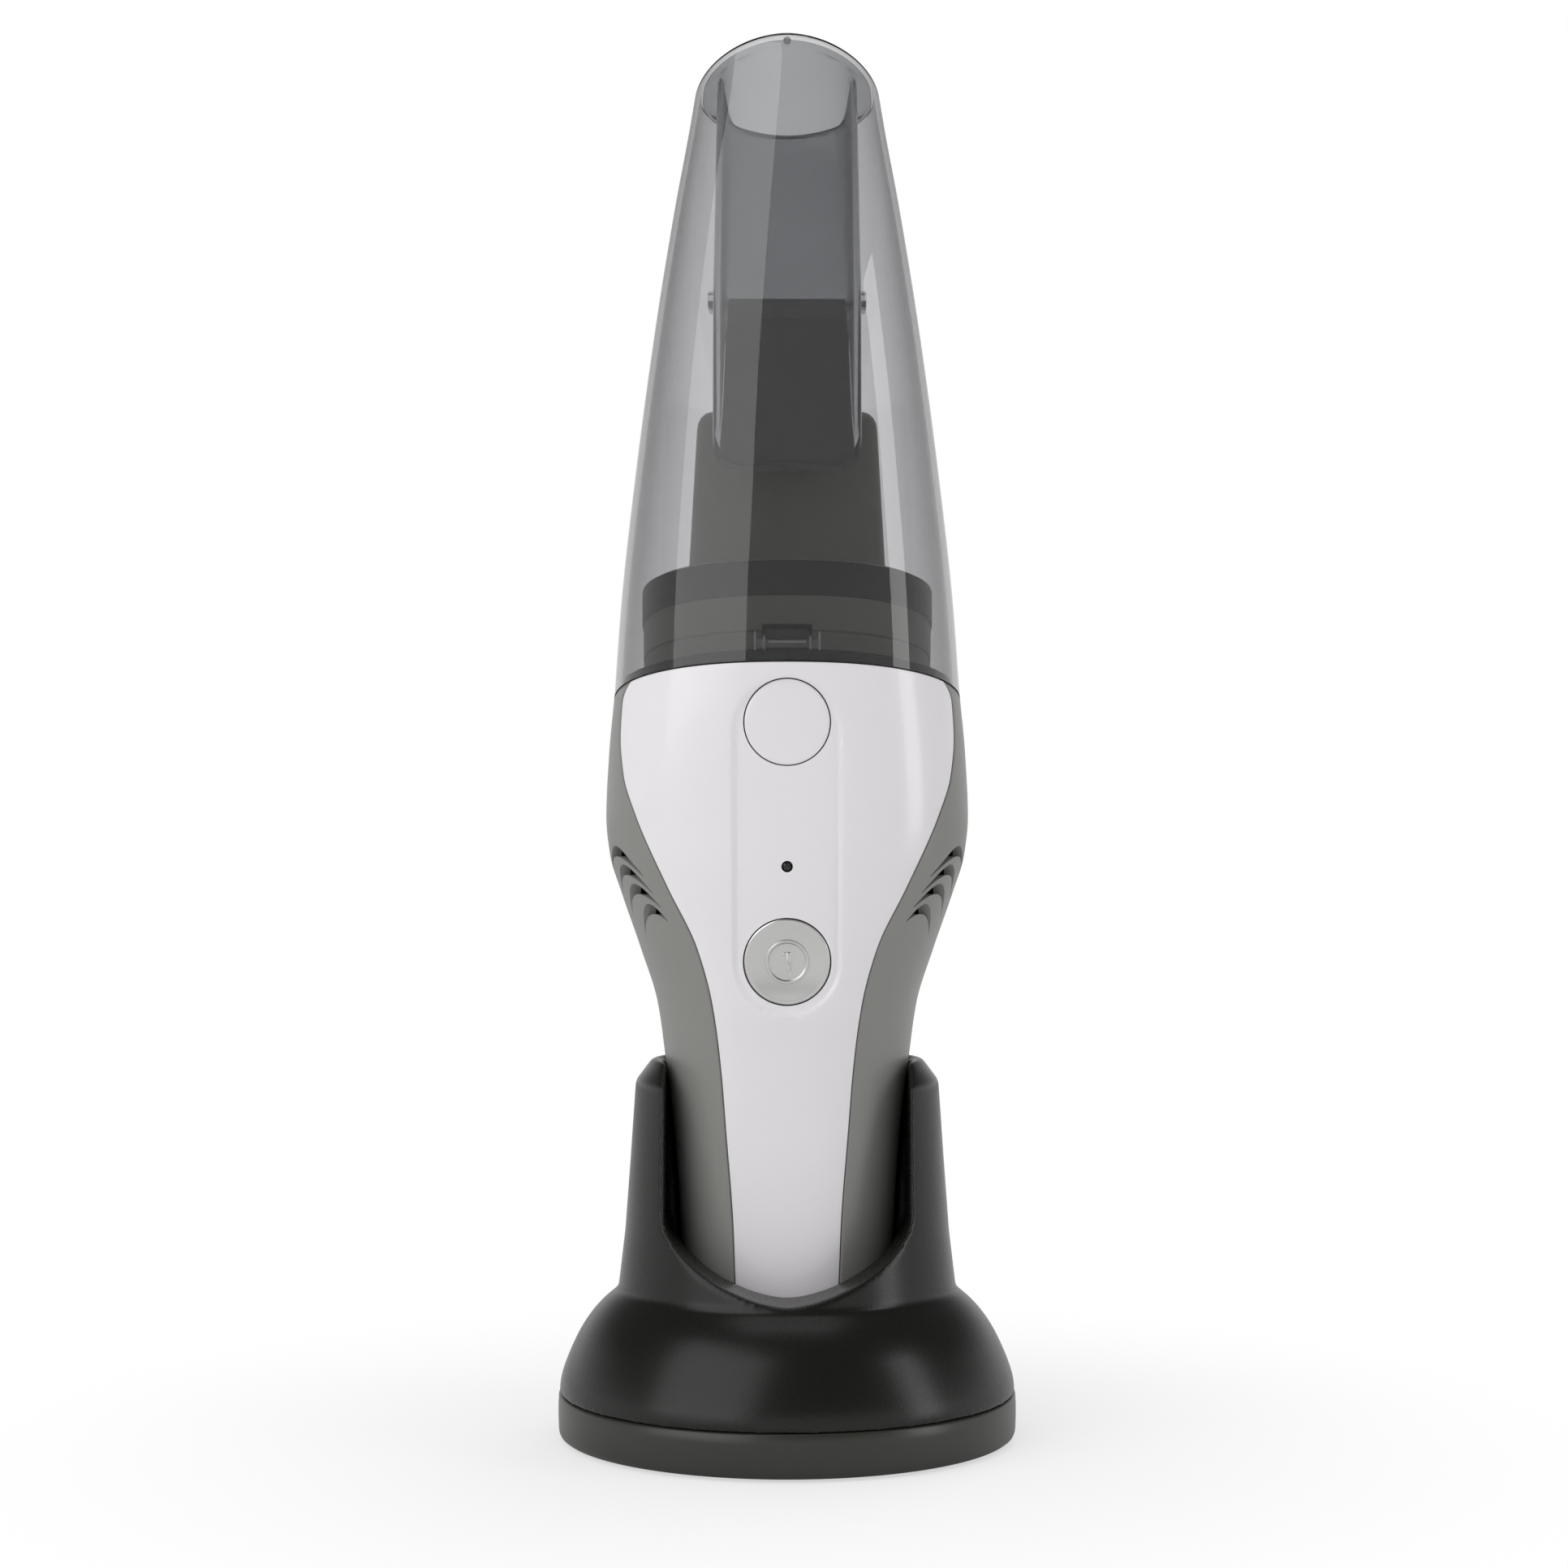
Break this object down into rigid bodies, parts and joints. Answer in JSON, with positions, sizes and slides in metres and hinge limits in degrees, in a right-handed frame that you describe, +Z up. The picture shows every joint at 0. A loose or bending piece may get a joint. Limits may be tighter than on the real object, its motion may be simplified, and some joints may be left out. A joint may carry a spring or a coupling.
{
  "type": "handheld vacuum",
  "caption": "Cordless handheld vacuum standing nose up in a round charging stand, with a clear lift-off dust cup, filter, press buttons and spinning fan.",
  "frame": {"origin": "middle of the stand's footprint, on the surface it stands on", "axes": "+Z up along the vacuum, nose up; -Y is the side with the buttons; +X is to the right when facing the buttons"},
  "size_m": [0.1334, 0.1333, 0.4064],
  "materials": {
    "white_gloss": "gloss",
    "grey_satin": "satin",
    "black_satin": "satin",
    "smoky_clear": "clear gloss",
    "black_rubber": "matte",
    "silver_paint": "satin metallic paint",
    "olive_plastic": "satin",
    "filter_cloth": "felt",
    "bright_steel": "bright",
    "brass": "bright",
    "green_board": "satin",
    "cell_sleeve": "satin"
  },
  "bodies": {
    "stand": {"stand_base": "black_satin", "stand_cradle": "black_satin", "non_slip_ring": "black_rubber", "stand_screw_1": "bright_steel", "stand_screw_2": "bright_steel", "stand_screw_3": "bright_steel", "dc_socket": "black_satin", "contact_block": "black_satin"},
    "pin_left": {"charging_pin_left": "brass"},
    "pin_right": {"charging_pin_right": "brass"},
    "hand_unit": {"left_housing": "grey_satin", "right_housing": "grey_satin", "top_cover": "white_gloss", "led_lens": "black_satin", "bulkhead": "black_satin", "cup_seal": "black_rubber", "fan_shroud": "black_satin", "motor_mount": "black_satin", "motor_can": "bright_steel", "motor_bearing": "brass", "battery_holder": "black_satin", "battery_cell_1": "cell_sleeve", "battery_cell_2": "cell_sleeve", "battery_cell_3": "cell_sleeve", "battery_cell_4": "cell_sleeve", "circuit_board": "green_board", "power_switch": "black_satin", "charge_contact_left": "brass", "charge_contact_right": "brass", "housing_screw_1": "bright_steel", "housing_screw_2": "bright_steel", "housing_screw_3": "bright_steel", "housing_screw_4": "bright_steel"},
    "power_button": {"power_button": "silver_paint"},
    "release_button": {"release_button": "white_gloss"},
    "release_latch": {"release_latch": "black_satin"},
    "rotor": {"motor_shaft": "bright_steel", "impeller": "black_satin"},
    "cup": {"dust_cup": "smoky_clear", "inlet_duct": "smoky_clear", "flap_hinge_pin": "bright_steel"},
    "flap": {"flap_valve": "black_rubber"},
    "filter": {"filter_frame": "olive_plastic", "filter_element": "filter_cloth", "filter_gasket": "black_rubber"}
  },
  "joints": [
    {"name": "hand_unit_lift", "type": "slide", "parent": "stand", "child": "hand_unit", "axis": [0, 0, 1], "range_m": [0, 0.11]},
    {"name": "pin_left_slide", "type": "slide", "parent": "stand", "child": "pin_left", "axis": [0, 0, 1], "range_m": [-0.001, 0], "stiffness_N_per_m": 150, "springref_m": 0.001},
    {"name": "pin_right_slide", "type": "slide", "parent": "stand", "child": "pin_right", "axis": [0, 0, 1], "range_m": [-0.001, 0], "stiffness_N_per_m": 150, "springref_m": 0.001},
    {"name": "power_press", "type": "slide", "parent": "hand_unit", "child": "power_button", "axis": [0, 1, 0], "range_m": [0, 0.0015], "stiffness_N_per_m": 400, "springref_m": -0.002},
    {"name": "release_press", "type": "slide", "parent": "hand_unit", "child": "release_button", "axis": [0, 1, 0], "range_m": [0, 0.003], "stiffness_N_per_m": 400, "springref_m": -0.002},
    {"name": "latch_slide", "type": "slide", "parent": "hand_unit", "child": "release_latch", "axis": [0, 1, 0], "range_m": [0, 0.003]},
    {"name": "rotor_spin", "type": "hinge", "parent": "hand_unit", "child": "rotor", "pos_m": [0, 0, 0.1862], "axis": [0, 0, 1], "continuous": true},
    {"name": "cup_slide", "type": "slide", "parent": "hand_unit", "child": "cup", "axis": [0, 0, 1], "range_m": [0, 0.25]},
    {"name": "filter_slide", "type": "slide", "parent": "hand_unit", "child": "filter", "axis": [0, 0, 1], "range_m": [0, 0.125]},
    {"name": "flap_swing", "type": "hinge", "parent": "cup", "child": "flap", "pos_m": [0, 0.00527, 0.33105], "axis": [1, 0, 0], "range_deg": [0, 18], "stiffness_Nm_per_rad": 0.002, "springref_deg": -28.65}
  ],
  "couplings": [
    {"joint": "latch_slide", "follows": "release_press", "ratio": 1},
    {"joint": "filter_slide", "follows": "cup_slide", "ratio": 0.5}
  ]
}
